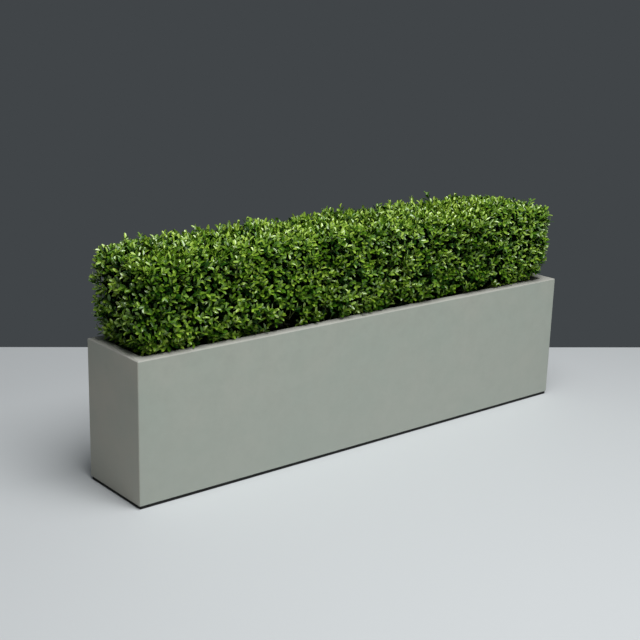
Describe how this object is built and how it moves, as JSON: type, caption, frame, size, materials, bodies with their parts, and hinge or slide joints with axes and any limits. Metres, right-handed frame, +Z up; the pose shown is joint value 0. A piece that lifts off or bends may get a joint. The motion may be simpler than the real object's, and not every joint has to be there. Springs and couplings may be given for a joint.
{
  "type": "boxwood hedge planter",
  "caption": "Long rectangular cast trough planter on a recessed foot, filled with soil and planted with box shrubs clipped into one low flat-topped hedge.",
  "frame": {"origin": "middle of the foot's flat underside", "axes": "+X along the trough's length, -Y towards the front face, +Z up"},
  "size_m": [1.2198, 0.2137, 0.5111],
  "materials": {
    "trough": "matt cast fibre clay, sage grey with a faint mottle",
    "foot": "matt black",
    "soil": "dark crumbly potting mix",
    "bark": "rough greyish-brown bark",
    "foliage": "glossy small evergreen leaves"
  },
  "bodies": {
    "root": {"foot": "foot", "trough": "trough", "soil": "soil", "stem_1": "bark", "stem_2": "bark", "stem_3": "bark", "stem_4": "bark", "stem_5": "bark", "foliage_1": "foliage", "foliage_2": "foliage", "foliage_3": "foliage", "foliage_4": "foliage", "foliage_5": "foliage"}
  },
  "joints": []
}
